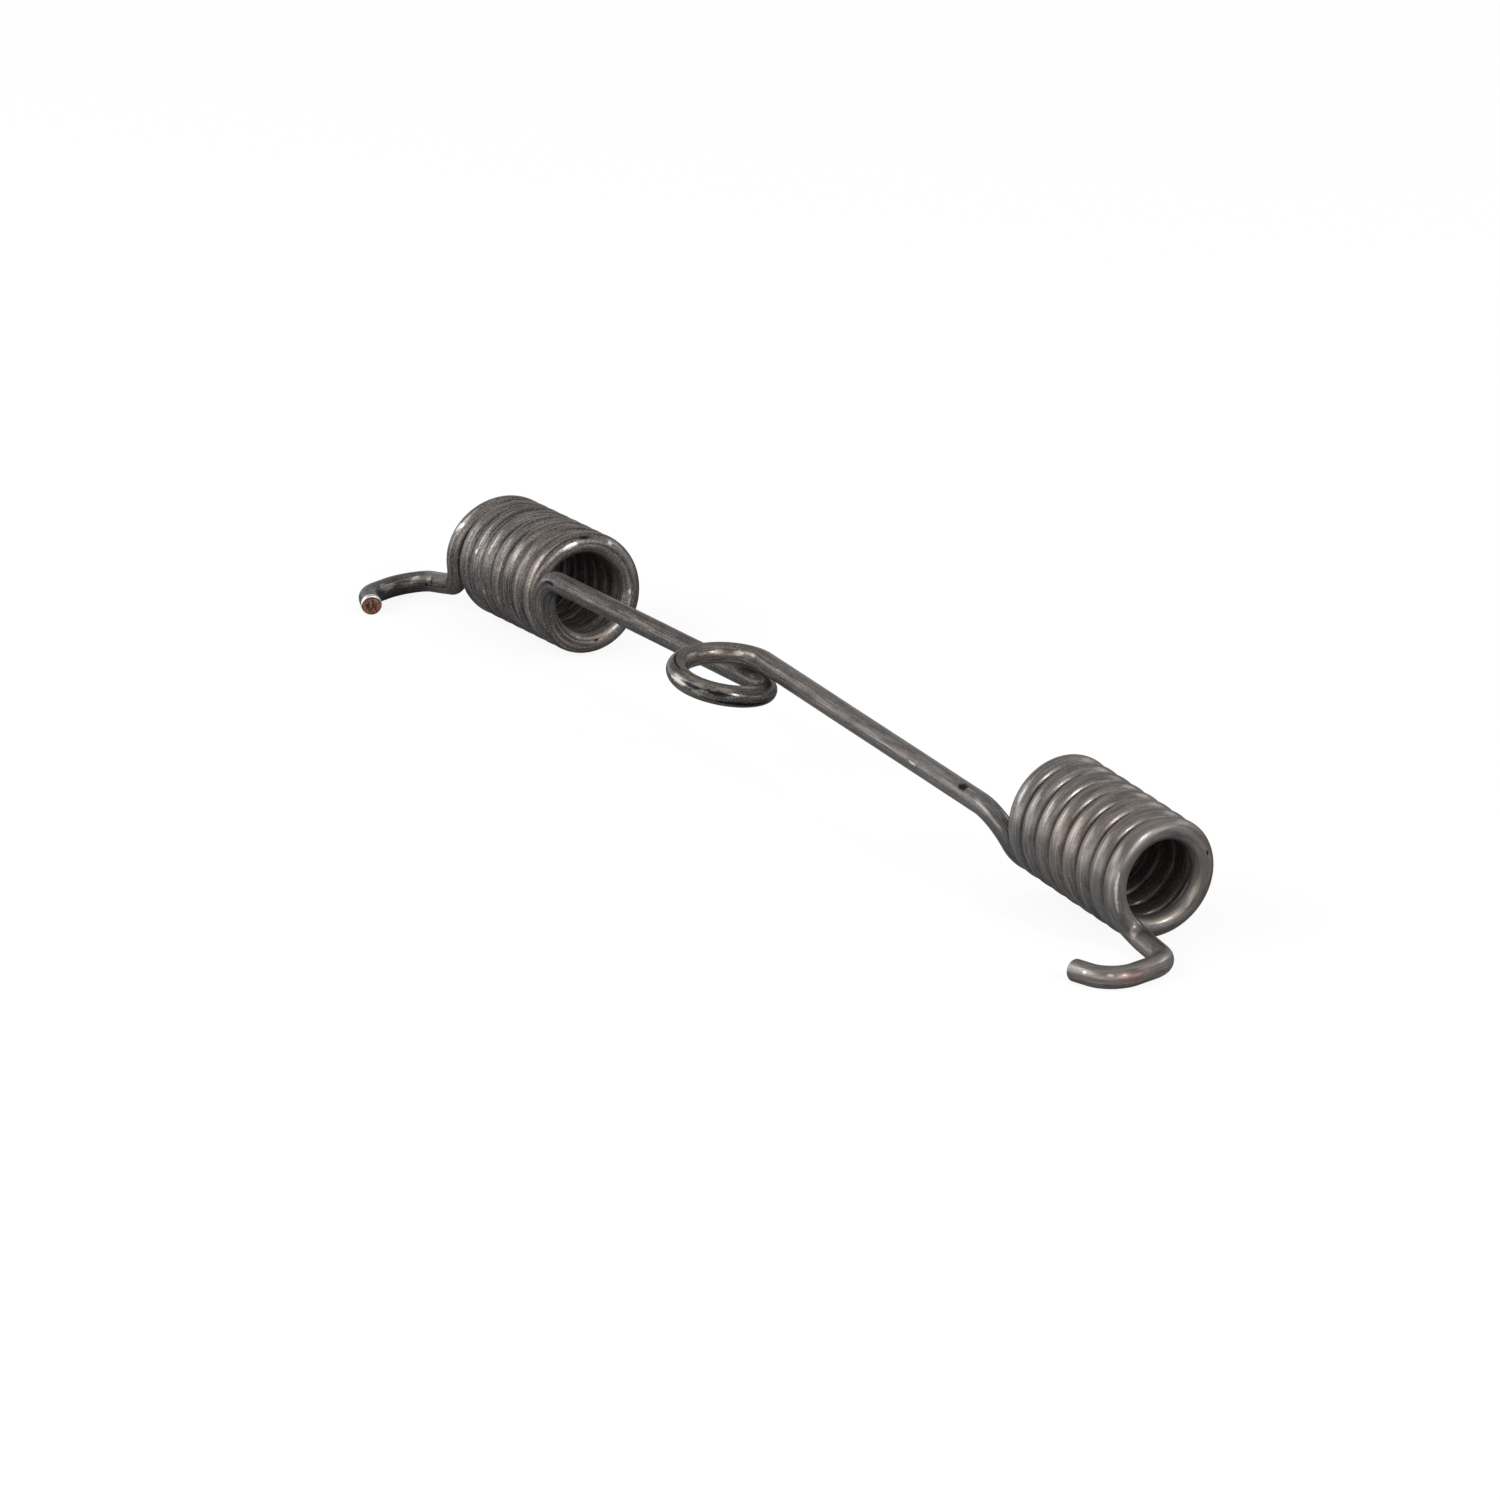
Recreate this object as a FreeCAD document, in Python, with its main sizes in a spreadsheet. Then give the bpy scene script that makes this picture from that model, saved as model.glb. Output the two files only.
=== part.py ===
"""Brake shoe spring: one drawn steel wire wound into two coils, a middle loop and two hooked ends.

The wire is followed from the middle loop outwards. It leaves the loop as two straight shanks, turns
through an elbow into a coil on each side, and leaves each coil at the bottom as a flat hook.
The spring lies on a bench: both coils and both hooks touch z = 0, X runs along the spring and the
hooks point to -Y. Millimetres and degrees throughout.
"""
import FreeCAD, Part
import math
import os

from FreeCAD import Placement, Rotation, Vector

ORIGIN = Vector(0, 0, 0)
ALONG = Vector(1, 0, 0)
UP = Vector(0, 0, 1)

# Driving sizes: name, value and what it measures
SIZES = [
    ("wire_diameter", 4.0, "drawn wire"),
    ("end_bevel", 0.3, "broken edge of both sheared ends"),
    ("loop_mean_radius", 8.27, "middle loop, to the wire's centre"),
    ("loop_pitch", 4.25, "rise of the middle loop in one turn"),
    ("loop_lean_right", 7.1, "lean of the loop's axis towards +X"),
    ("loop_lean_back", 4.8, "lean of the loop's axis towards +Y"),
    ("loop_entry_heading", 2.45, "left shank, turned from +X towards +Y"),
    ("loop_exit_heading", -5.3, "right shank, turned from +X towards +Y"),
    ("left_shank", 69.7, "straight wire from loop to left elbow"),
    ("right_shank", 90.3, "straight wire from loop to right elbow"),
    ("left_elbow_radius", 5.5, "bend from shank into left coil"),
    ("right_elbow_radius", 6.3, "bend from shank into right coil"),
    ("coil_mean_radius", 9.43, "both coils, to the wire's centre"),
    ("left_coil_turns", 8.02, "turns in the left coil"),
    ("right_coil_turns", 8.03, "turns in the right coil"),
    ("left_coil_pitch", 4.36, "left coil, wound almost solid"),
    ("right_coil_pitch", 4.56, "right coil, slightly stretched"),
    ("left_coil_start", 1.2, "how far past the front the left coil begins"),
    ("right_coil_start", 28.3, "how far past the front the right coil begins"),
    ("left_coil_swing", 3.7, "left coil's axis, turned back from its shank"),
    ("right_coil_swing", 4.85, "right coil's axis, turned back from its shank"),
    ("right_coil_droop", 5.9, "fall of the right coil's axis towards its hook"),
    ("left_lead_radius", 5.3, "bend from left coil into its hook"),
    ("left_arm_heading", 2.7, "left hook's arm, turned back from the coil's axis"),
    ("left_arm_run", 10.3, "straight part of left hook's arm"),
    ("left_bend_radius", 5.2, "left hook's first bend"),
    ("left_hook_angle", 117.0, "turn at the left hook's first bend, in plan"),
    ("left_back_run", 3.4, "straight part between the left hook's bends"),
    ("left_tip_radius", 5.7, "left hook's second bend"),
    ("left_tip_angle", 45.0, "turn at the left hook's second bend"),
    ("left_tip_run", 4.5, "straight end of the left hook"),
    ("right_lead_radius", 3.4, "bend from right coil into its hook"),
    ("right_arm_heading", -9.6, "right hook's arm, turned back from the coil's axis"),
    ("right_arm_run", 6.85, "straight part of right hook's arm"),
    ("right_bend_radius", 6.5, "right hook's first bend"),
    ("right_hook_angle", 63.1, "turn at the right hook's first bend, in plan"),
    ("right_back_run", 4.8, "straight part between the right hook's bends"),
    ("right_tip_radius", 5.1, "right hook's second bend"),
    ("right_tip_angle", 86.6, "turn at the right hook's second bend"),
    ("right_tip_run", 3.9, "straight end of the right hook"),
]


def unit(vector):
    """The same direction with length one."""
    return Vector(vector).normalize()


def turned(vector, axis, degrees):
    """A vector turned about an axis."""
    return Rotation(axis, degrees).multVec(vector)


def angle_between(first, second):
    """The angle from one direction to another, in radians."""
    return first.getAngle(second)


def add_straight(edges, point, heading, length):
    """Add a straight run and return its end."""
    end = point + heading * length
    edges.append(Part.LineSegment(point, end).toShape())
    return end


def add_bend(edges, point, heading, new_heading, radius):
    """Add an arc that turns from one heading to another and return its end."""
    axis = unit(heading.cross(new_heading))
    turn = math.degrees(angle_between(heading, new_heading))
    centre = point + axis.cross(heading) * radius
    middle = centre + turned(point - centre, axis, turn / 2)
    end = centre + turned(point - centre, axis, turn)
    edges.append(Part.Arc(point, middle, end).toShape())
    return end


def add_helix(name, radius, pitch, turns, left_handed):
    """A helix whose radius, pitch and height are bound to the sheet."""
    helix = doc.addObject("Part::Helix", name)
    helix.setExpression("Radius", "Sizes." + radius)
    helix.setExpression("Pitch", "Sizes." + pitch)
    helix.setExpression("Height", "Sizes.{} * {}".format(pitch, turns))
    helix.SegmentLength = 0
    helix.LocalCoord = 1 if left_handed else 0
    return helix


def end_of(helix, last):
    """The point and the outward heading at a helix's first or last end, where it stands now."""
    edge = helix.Shape.Edges[0]
    parameter = edge.LastParameter if last else edge.FirstParameter
    return edge.valueAt(parameter), unit(edge.tangentAt(parameter))


def frame_at(point, spoke, axis):
    """A placement whose x axis follows the spoke and whose z axis follows the axis."""
    return Placement(point, Rotation(spoke, axis.cross(spoke), axis, "ZXY"))


doc = FreeCAD.newDocument("BrakeShoeSpring")

# Sheet of driving sizes
sheet = doc.addObject("Spreadsheet::Sheet", "Sizes")
for row, (alias, value, meaning) in enumerate(SIZES, start=1):
    sheet.set("A{}".format(row), alias)
    sheet.set("B{}".format(row), str(value))
    sheet.set("C{}".format(row), meaning)
    sheet.setAlias("B{}".format(row), alias)
doc.recompute()
size = {alias: float(sheet.get(alias)) for alias, value, meaning in SIZES}
wire_radius = size["wire_diameter"] / 2

# Middle loop: one turn, clockwise from above, and the little more that its two shanks ask for
loop_extra = "(Sizes.loop_entry_heading - Sizes.loop_exit_heading) / 360"
loop = add_helix("MiddleLoopLine", "loop_mean_radius", "loop_pitch", "(1 + {})".format(loop_extra), True)
lean_right = math.sin(math.radians(size["loop_lean_right"]))
lean_back = math.sin(math.radians(size["loop_lean_back"]))
loop_axis = unit(Vector(lean_right, lean_back, 1))
loop_right = unit(ALONG - loop_axis * loop_axis.x)
loop_spoke = turned(loop_axis.cross(loop_right), loop_axis, size["loop_entry_heading"])
loop.Placement = frame_at(ORIGIN, loop_spoke, loop_axis)

# Coils: the left one is left-hand and the right one right-hand, so the two halves mirror each other
left_turns = "Sizes.left_coil_turns"
right_turns = "Sizes.right_coil_turns"
left_coil = add_helix("LeftCoilLine", "coil_mean_radius", "left_coil_pitch", left_turns, True)
right_coil = add_helix("RightCoilLine", "coil_mean_radius", "right_coil_pitch", right_turns, False)
doc.recompute()


def lay_half(coil, side, sign):
    """Lay one shank, its elbow and its coil outwards from the loop, and return the edges laid."""
    point, heading = end_of(loop, side == "right")
    heading = heading * sign
    level_heading = unit(Vector(heading.x, heading.y, 0))
    axis = turned(level_heading, UP, sign * size[side + "_coil_swing"])
    if side == "right":
        axis = unit(axis - UP * math.tan(math.radians(size["right_coil_droop"])))
    back = unit(UP.cross(axis)) * sign
    rise = axis.cross(back) * sign
    start = math.pi + math.radians(size[side + "_coil_start"])
    spoke = back * math.cos(start) + rise * math.sin(start)
    lead = math.atan(size[side + "_coil_pitch"] / (2 * math.pi * size["coil_mean_radius"]))
    tangent = axis.cross(spoke) * (sign * math.cos(lead)) + axis * math.sin(lead)
    edges = []
    elbow = add_straight(edges, point, heading, size[side + "_shank"])
    entry = add_bend(edges, elbow, heading, tangent, size[side + "_elbow_radius"])
    coil.Placement = frame_at(entry - spoke * size["coil_mean_radius"], spoke, axis)
    return edges


def lowest_of(coil, side):
    """The lowest of the points where a coil's turns pass underneath its axis."""
    edge = coil.Shape.Edges[0]
    points = edge.discretize(int(size[side + "_coil_turns"] * 360))
    return min(points, key=lambda point: point.z)


left_edges = lay_half(left_coil, "left", -1)
right_edges = lay_half(right_coil, "right", 1)
doc.recompute()

# Level: the spring is turned about Y until both coils touch the bench, then set down on it
across = lowest_of(right_coil, "right") - lowest_of(left_coil, "left")
level = Placement(ORIGIN, Rotation(Vector(0, 1, 0), math.degrees(math.atan2(across.z, across.x))))
for line in (loop, left_coil, right_coil):
    line.Placement = level * line.Placement
for edge in left_edges + right_edges:
    edge.transformShape(level.toMatrix())
doc.recompute()
bench = lowest_of(left_coil, "left").z


def lay_hook(coil, side, sign):
    """Lay one hook from its coil's end: an arm that falls to the bench, and two flat bends."""
    point, heading = end_of(coil, True)
    axis = coil.Placement.Rotation.multVec(UP)
    plan_axis = unit(Vector(axis.x, axis.y, 0))
    arm_turn = sign * size[side + "_arm_heading"]
    back_turn = arm_turn - sign * size[side + "_hook_angle"]
    tip_turn = back_turn - sign * size[side + "_tip_angle"]
    arm_plan, back_run, tip_run = [turned(plan_axis, UP, turn) for turn in (arm_turn, back_turn, tip_turn)]
    # The arm's slope and its two bends depend on each other, and settle in a few passes
    arm = arm_plan
    for settle in range(20):
        lead_part = size[side + "_lead_radius"] * math.tan(angle_between(heading, arm) / 2)
        bend_part = size[side + "_bend_radius"] * math.tan(angle_between(arm, back_run) / 2)
        length = lead_part + size[side + "_arm_run"] + bend_part
        slope = math.asin((point.z + heading.z * lead_part - bench) / length)
        arm = arm_plan * math.cos(slope) - UP * math.sin(slope)
    edges = []
    here = add_bend(edges, point, heading, arm, size[side + "_lead_radius"])
    here = add_straight(edges, here, arm, size[side + "_arm_run"])
    here = add_bend(edges, here, arm, back_run, size[side + "_bend_radius"])
    here = add_straight(edges, here, back_run, size[side + "_back_run"])
    here = add_bend(edges, here, back_run, tip_run, size[side + "_tip_radius"])
    add_straight(edges, here, tip_run, size[side + "_tip_run"])
    return edges


left_hook = lay_hook(left_coil, "left", -1)
right_hook = lay_hook(right_coil, "right", 1)


def reach(edges, direction):
    """How far the round wire reaches along a direction, from points along its centre line."""
    furthest = []
    for edge in edges:
        samples = max(2, int(edge.Length))
        for step in range(samples + 1):
            span = edge.LastParameter - edge.FirstParameter
            parameter = edge.FirstParameter + span * step / samples
            cosine = unit(edge.tangentAt(parameter)).dot(direction)
            across_wire = wire_radius * math.sqrt(max(0.0, 1 - cosine ** 2))
            furthest.append(edge.valueAt(parameter).dot(direction) + across_wire)
    return max(furthest)


# Route: the wire's whole centre line from the left hook's tip to the right hook's tip
left_side = left_hook[::-1] + [left_coil.Shape.Edges[0]] + left_edges[::-1]
right_side = right_edges + [right_coil.Shape.Edges[0]] + right_hook
lines = left_side + [loop.Shape.Edges[0]] + right_side
middle_x = (reach(lines, ALONG) - reach(lines, -ALONG)) / 2
middle_y = (reach(lines, Vector(0, 1, 0)) - reach(lines, Vector(0, -1, 0))) / 2
route = doc.addObject("Part::Feature", "Route")
route.Shape = Part.Wire(lines)
route.Placement = Placement(Vector(-middle_x, -middle_y, wire_radius - bench), Rotation())

# Section: the round wire, square to the route where it begins
section = doc.addObject("Part::Circle", "WireSection")
section.setExpression("Radius", "Sizes.wire_diameter / 2")
tip_edge = route.Shape.Edges[0]
tips = [tip_edge.valueAt(tip_edge.FirstParameter), tip_edge.valueAt(tip_edge.LastParameter)]
tip = max(tips, key=lambda point: point.distanceToPoint(route.Shape.Edges[1].CenterOfMass))
section.Placement = Placement(tip, Rotation(UP, tip_edge.tangentAt(tip_edge.FirstParameter)))

# Spring wire: the section drawn along the whole route as one solid
wire = doc.addObject("Part::Sweep", "SpringWire")
wire.Sections = [section]
wire.Spine = (route, ["Edge{}".format(number) for number in range(1, len(route.Shape.Edges) + 1)])
wire.Solid = True
wire.Frenet = True
doc.recompute()

# Bevel: both ends were sheared from the coil of wire and their sharp edge is knocked off
ends = []
for number, edge in enumerate(wire.Shape.Edges, start=1):
    beside = wire.Shape.ancestorsOfType(edge, Part.Face)
    if any(isinstance(face.Surface, Part.Plane) for face in beside):
        ends.append((number, size["end_bevel"], size["end_bevel"]))
spring = doc.addObject("Part::Chamfer", "BevelledWire")
spring.Base = wire
spring.Edges = ends
spring.Label = "spring_wire"
doc.recompute()

# Check every object, then write each sub-part to a file of its own
for item in doc.Objects:
    if "Invalid" in item.State or "Error" in item.State:
        raise RuntimeError(item.Name + " failed")
os.makedirs("parts", exist_ok=True)
for part in (spring,):
    if part.Shape.isNull() or not part.Shape.isValid():
        raise RuntimeError(part.Label + " has no valid shape")
    part.Shape.exportStep(os.path.join("parts", part.Label + ".step"))

print("wire length", round(route.Shape.Length, 2), "mm, faces", len(spring.Shape.Faces))
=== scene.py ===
import math

import bmesh
import bpy
from mathutils import Matrix, Quaternion, Vector
from mathutils.noise import noise as lump


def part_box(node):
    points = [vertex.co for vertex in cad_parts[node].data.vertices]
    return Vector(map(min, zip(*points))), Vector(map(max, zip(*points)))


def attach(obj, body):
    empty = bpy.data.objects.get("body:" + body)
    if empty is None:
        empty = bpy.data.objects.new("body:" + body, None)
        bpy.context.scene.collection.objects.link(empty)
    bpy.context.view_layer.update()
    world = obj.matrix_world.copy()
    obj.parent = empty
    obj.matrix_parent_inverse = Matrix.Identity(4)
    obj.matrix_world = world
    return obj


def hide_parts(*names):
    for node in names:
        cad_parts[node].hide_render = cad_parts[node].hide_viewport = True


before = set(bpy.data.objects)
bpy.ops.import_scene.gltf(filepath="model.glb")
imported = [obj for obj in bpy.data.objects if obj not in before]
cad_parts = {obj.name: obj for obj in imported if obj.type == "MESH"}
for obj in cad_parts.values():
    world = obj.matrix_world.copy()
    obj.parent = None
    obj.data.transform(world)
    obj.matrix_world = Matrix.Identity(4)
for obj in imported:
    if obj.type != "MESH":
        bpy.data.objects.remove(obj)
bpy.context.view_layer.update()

# The wire's route: one length of round drawn steel, coiled cold and bent into a hook at each end.
# Its centre line is laid in millimetres from the middle loop outwards, as straight runs, arcs and
# helices, and is then set down on the bench where the frame has the wire.
MM = 0.001
UP = Vector((0, 0, 1))
ALONG = Vector((1, 0, 0))
STEP, FEWEST_STEPS = 0.6, 4
SETTLING_PASSES = 20
WIRE_RADIUS = 2.0
END_ALLOWANCE = 0.3
LOOP_RADIUS, LOOP_PITCH = 8.27, 4.25
LOOP_LEAN_RIGHT, LOOP_LEAN_BACK = 7.1, 4.8
LOOP_ENTRY, LOOP_EXIT = 2.45, -5.3
COIL_RADIUS = 9.43
LEFT = dict(
    sign=-1, shank=69.7, elbow=5.5, turns=8.02, pitch=4.36, start=1.2, swing=3.7, droop=0.0,
    lead=5.3, arm_heading=2.7, arm_run=10.3, bend=5.2, hook_angle=117.0, back_run=3.4,
    tip_bend=5.7, tip_angle=45.0, tip_run=4.5,
)
RIGHT = dict(
    sign=1, shank=90.3, elbow=6.3, turns=8.03, pitch=4.56, start=28.3, swing=4.85, droop=5.9,
    lead=3.4, arm_heading=-9.6, arm_run=6.85, bend=6.5, hook_angle=63.1, back_run=4.8,
    tip_bend=5.1, tip_angle=94.0, tip_run=3.95,
)


def turned(vector, axis, degrees):
    """A vector turned about an axis."""
    return Quaternion(axis, math.radians(degrees)) @ vector


def lay_straight(points, heading, length):
    """Lay a straight run."""
    start = points[-1].copy()
    count = max(1, round(length / STEP))
    points += [start + heading * (length * number / count) for number in range(1, count + 1)]


def lay_bend(points, heading, new_heading, radius):
    """Lay an arc that turns from one heading to another."""
    start = points[-1].copy()
    axis = heading.cross(new_heading).normalized()
    turn = heading.angle(new_heading)
    centre = start + axis.cross(heading) * radius
    count = max(FEWEST_STEPS, round(radius * turn / STEP))
    for number in range(1, count + 1):
        points.append(centre + Quaternion(axis, turn * number / count) @ (start - centre))


def lay_helix(points, spoke, axis, hand, radius, pitch, turns):
    """Lay a helix that starts along a spoke, and return the heading at its end."""
    start = points[-1].copy()
    centre = start - spoke * radius
    count = round(turns * 2 * math.pi * radius / STEP)
    for number in range(1, count + 1):
        done = turns * number / count
        arm = Quaternion(axis, hand * 2 * math.pi * done) @ spoke
        points.append(centre + arm * radius + axis * pitch * done)
    lead = math.atan(pitch / (2 * math.pi * radius))
    return axis.cross(arm) * (hand * math.cos(lead)) + axis * math.sin(lead)


def lay_half(start, heading, half):
    """Lay one shank, its elbow and its coil outwards from the loop."""
    points = [start]
    sign = half["sign"]
    level_heading = Vector((heading.x, heading.y, 0)).normalized()
    axis = turned(level_heading, UP, sign * half["swing"])
    axis = (axis - UP * math.tan(math.radians(half["droop"]))).normalized()
    back = UP.cross(axis).normalized() * sign
    rise = axis.cross(back) * sign
    start_angle = math.pi + math.radians(half["start"])
    spoke = back * math.cos(start_angle) + rise * math.sin(start_angle)
    lead = math.atan(half["pitch"] / (2 * math.pi * COIL_RADIUS))
    tangent = axis.cross(spoke) * (sign * math.cos(lead)) + axis * math.sin(lead)
    lay_straight(points, heading, half["shank"])
    lay_bend(points, heading, tangent, half["elbow"])
    leaving = lay_helix(points, spoke, axis, sign, COIL_RADIUS, half["pitch"], half["turns"])
    return points, leaving, axis


def lay_hook(points, heading, axis, half, bench):
    """Lay one hook from its coil down to the bench: an arm and two flat bends."""
    sign = half["sign"]
    plan_axis = Vector((axis.x, axis.y, 0)).normalized()
    arm_turn = sign * half["arm_heading"]
    back_turn = arm_turn - sign * half["hook_angle"]
    tip_turn = back_turn - sign * half["tip_angle"]
    arm_plan, back_run, tip_run = [turned(plan_axis, UP, turn) for turn in (arm_turn, back_turn, tip_turn)]
    # The arm's slope and its two bends depend on each other, and settle in a few passes
    arm = arm_plan
    for settling in range(SETTLING_PASSES):
        lead_part = half["lead"] * math.tan(heading.angle(arm) / 2)
        bend_part = half["bend"] * math.tan(arm.angle(back_run) / 2)
        length = lead_part + half["arm_run"] + bend_part
        slope = math.asin((points[-1].z + heading.z * lead_part - bench) / length)
        arm = arm_plan * math.cos(slope) - UP * math.sin(slope)
    lay_bend(points, heading, arm, half["lead"])
    lay_straight(points, arm, half["arm_run"])
    lay_bend(points, arm, back_run, half["bend"])
    lay_straight(points, back_run, half["back_run"])
    lay_bend(points, back_run, tip_run, half["tip_bend"])
    # The end face stands out past the last point
    lay_straight(points, tip_run, half["tip_run"] - END_ALLOWANCE)


lean_right, lean_back = [math.sin(math.radians(lean)) for lean in (LOOP_LEAN_RIGHT, LOOP_LEAN_BACK)]
loop_axis = Vector((lean_right, lean_back, 1)).normalized()
loop_right = (ALONG - loop_axis * loop_axis.x).normalized()
loop_spoke = turned(loop_axis.cross(loop_right), loop_axis, LOOP_ENTRY)
loop_lead = math.atan(LOOP_PITCH / (2 * math.pi * LOOP_RADIUS))
entering = loop_spoke.cross(loop_axis) * math.cos(loop_lead) + loop_axis * math.sin(loop_lead)
loop_turns = 1 + (LOOP_ENTRY - LOOP_EXIT) / 360
loop = [loop_spoke * LOOP_RADIUS]
leaving = lay_helix(loop, loop_spoke, loop_axis, -1, LOOP_RADIUS, LOOP_PITCH, loop_turns)
left, left_end, left_axis = lay_half(loop[0].copy(), -entering, LEFT)
right, right_end, right_axis = lay_half(loop[-1].copy(), leaving, RIGHT)

# The spring is turned until both coils touch the bench, and the hooks are laid down to it
across = min(right, key=lambda point: point.z) - min(left, key=lambda point: point.z)
level = Quaternion((0, 1, 0), math.atan2(across.z, across.x))
loop, left, right = [[level @ point for point in run] for run in (loop, left, right)]
ways = (left_end, left_axis, right_end, right_axis)
left_end, left_axis, right_end, right_axis = [level @ way for way in ways]
bench = min(point.z for point in left)
lay_hook(left, left_end, left_axis, LEFT, bench)
lay_hook(right, right_end, right_axis, RIGHT, bench)
route = left[::-1] + loop[1:] + right[1:]

# The wire stands off a little from the left coil where it leaves for the hook
STAND_OFF, STAND_OFF_PLACE, STAND_OFF_REACH = 1.2, 39.5, 17.0
travelled = 0.0
settled = [route[0]]
for before, after in zip(route, route[1:]):
    travelled += (after - before).length
    near = max(0.0, 1 - abs(travelled - STAND_OFF_PLACE) / STAND_OFF_REACH)
    settled.append(after + left_axis * (STAND_OFF * near * near * (3 - 2 * near)))
route = settled


def reach(direction):
    """How far the round wire reaches along a direction, in millimetres."""
    furthest = []
    for before, after in zip(route, route[1:]):
        cosine = (after - before).normalized().dot(direction)
        furthest.append(after.dot(direction) + WIRE_RADIUS * math.sqrt(max(0.0, 1 - cosine ** 2)))
    return max(furthest)


low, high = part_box("spring_wire")
middle_x = (reach(ALONG) - reach(-ALONG)) / 2
middle_y = (reach(Vector((0, 1, 0))) - reach(Vector((0, -1, 0)))) / 2
centre_x, centre_y = (low.x + high.x) / 2 / MM, (low.y + high.y) / 2 / MM
shift = Vector((centre_x - middle_x, centre_y - middle_y, WIRE_RADIUS - bench))
route = [(point + shift) * MM for point in route]


# The wire's surface: oil-tempered spring steel, drawn through a die, quenched in oil and rubbed by
# the coiling tools. To the eye it is a dark satin grey, finely streaked along the wire, with paler
# crests, painted shade with some soot between the turns and inside the coils, painted highlights,
# reflections and shade among its marks, and a thin film of oil on the rest.

# Sizes of its patterns in millimetres. The real die lines, hairlines and grain go down to a few
# hundredths, and are drawn as coarse as they need to show.
DIE_LINE, DIE_LINE_LENGTH = 0.42, 26.0
HAIRLINE, HAIRLINE_LENGTH = 0.2, 9.0
RUB_WIDTH, RUB_LENGTH = 0.8, 9.0
SCALE_WIDTH, SCALE_LENGTH = 1.1, 4.0
SPECK_WIDTH, SPECK_LENGTH = 0.32, 0.5
HEAT_PATCH, GRAIN = 17.0, 0.35
LINE_DEPTH, LINE_BUMP = 0.03, 0.7
SCALE_DEPTH, SCALE_BUMP = 0.04, 0.4

# Where each pattern's noise starts and ends in telling, and how far it changes the colour or tone
HEAT_SPAN = (0.36, 0.64)
SCALE_SPAN, SCALE_SHARE = (0.45, 0.64), 0.6
RUB_SPAN, RUB_SHARE = (0.5, 0.68), 0.5
SPECK_SPAN, SPECK_SHARE = (0.6, 0.7), 0.6
LINE_SPAN, LINE_TONES = (0.32, 0.68), (0.64, 1.28)
HAIR_SPAN, HAIR_TONES = (0.3, 0.7), (0.4, 1.6)
GRAIN_SPAN, GRAIN_TONES = (0.3, 0.7), (0.55, 1.45)
# This share paints shade between the turns and inside the coils, with some soot
SHADE_SOOT_SPAN, SHADE_SOOT_SHARE = (0.05, 0.95), 0.92

GREY_OXIDE, BROWN_OXIDE, DARK_SCALE = "#747270", "#7c736d", "#4f4a49"
# The worn and nicked steels also paint highlights, glints and reflections
RUBBED_STEEL, SPECK_STEEL, WEAR_AND_SHEEN_STEEL, NICK_AND_GLINT_STEEL = "#a59c95", "#b3a79d", "#bdb0a3", "#e6dfd6"
# The first of these blacks is painted shade with some soot, the second paints stains with painted dark
# reflections and shade
SHADE_AND_SOOT_BLACK, STAIN_AND_SHADE_BLACK, SMEAR_RED = "#221c1a", "#17171c", "#94605a"
METAL_SHARE, SHINE = 0.6, 0.25
EDGE_TINT = (0.35, 0.35, 0.36, 1.0)
PLAIN_ROUGHNESS, RUBBED_ROUGHNESS, SOOT_ROUGHNESS = 0.38, 0.29, 0.45
OIL_FILM, OIL_ROUGHNESS = 0.5, 0.15

# How pale, how streaked and how dull the wire is, at places in millimetres from its left end. It
# is paler and smoother from the loop to its right end, most on the right hook. HEADROOM is above
# every level, because a colour ramp's own levels end at 1.
HEADROOM = 2.0
PALENESS = [
    (0, 0.56), (7, 0.6), (14, 0.74), (36, 0.78), (46, 1.05), (505, 1.05), (525, 0.68), (595, 0.7),
    (602, 0.8), (624, 0.8), (640, 0.92), (670, 1.18), (740, 1.2), (760, 1.26), (1215, 1.26),
    (1240, 1.34), (1262, 1.34),
]
STREAKS = [
    (0, 0.85), (40, 1.0), (505, 1.0), (525, 0.85), (640, 0.9), (670, 0.55), (740, 0.48),
    (1140, 0.4), (1165, 0.1), (1262, 0.1),
]
DULLNESS = [(0, 1.0), (597, 1.0), (604, 0.6), (622, 0.6), (632, 0.9), (1262, 1.0)]

# Marks of tools and wear, with painted highlights, reflections and shade among them: the distance
# along the wire from its left end in millimetres, the angle round it in degrees, where 0 faces the
# camera's side and -90 is up on the left hook, and the half length and half width in millimetres.
# Each kind's share is how strongly it shows.
# Bright nicks, and painted glints: the mark at 618.9 is a painted highlight on the loop's front, and the
# one at 1217.4 a painted highlight on the right coil's end ring
NICKS_AND_GLINTS = [
    (46.6, 9, 0.5, 0.3), (46.0, -9, 0.9, 0.35), (162.7, -54, 0.4, 0.3),
    (216.2, -90, 0.35, 0.3), (468.3, -126, 1.4, 0.4), (476.1, -144, 0.5, 0.35),
    (486.9, -99, 0.5, 0.25), (618.9, -52, 1.8, 0.4), (713.2, 90, 1.3, 0.2),
    (1217.4, -72, 3.2, 0.28), (1253.2, 171, 0.4, 0.3), (1256.8, 171, 0.35, 0.25),
]
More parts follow.
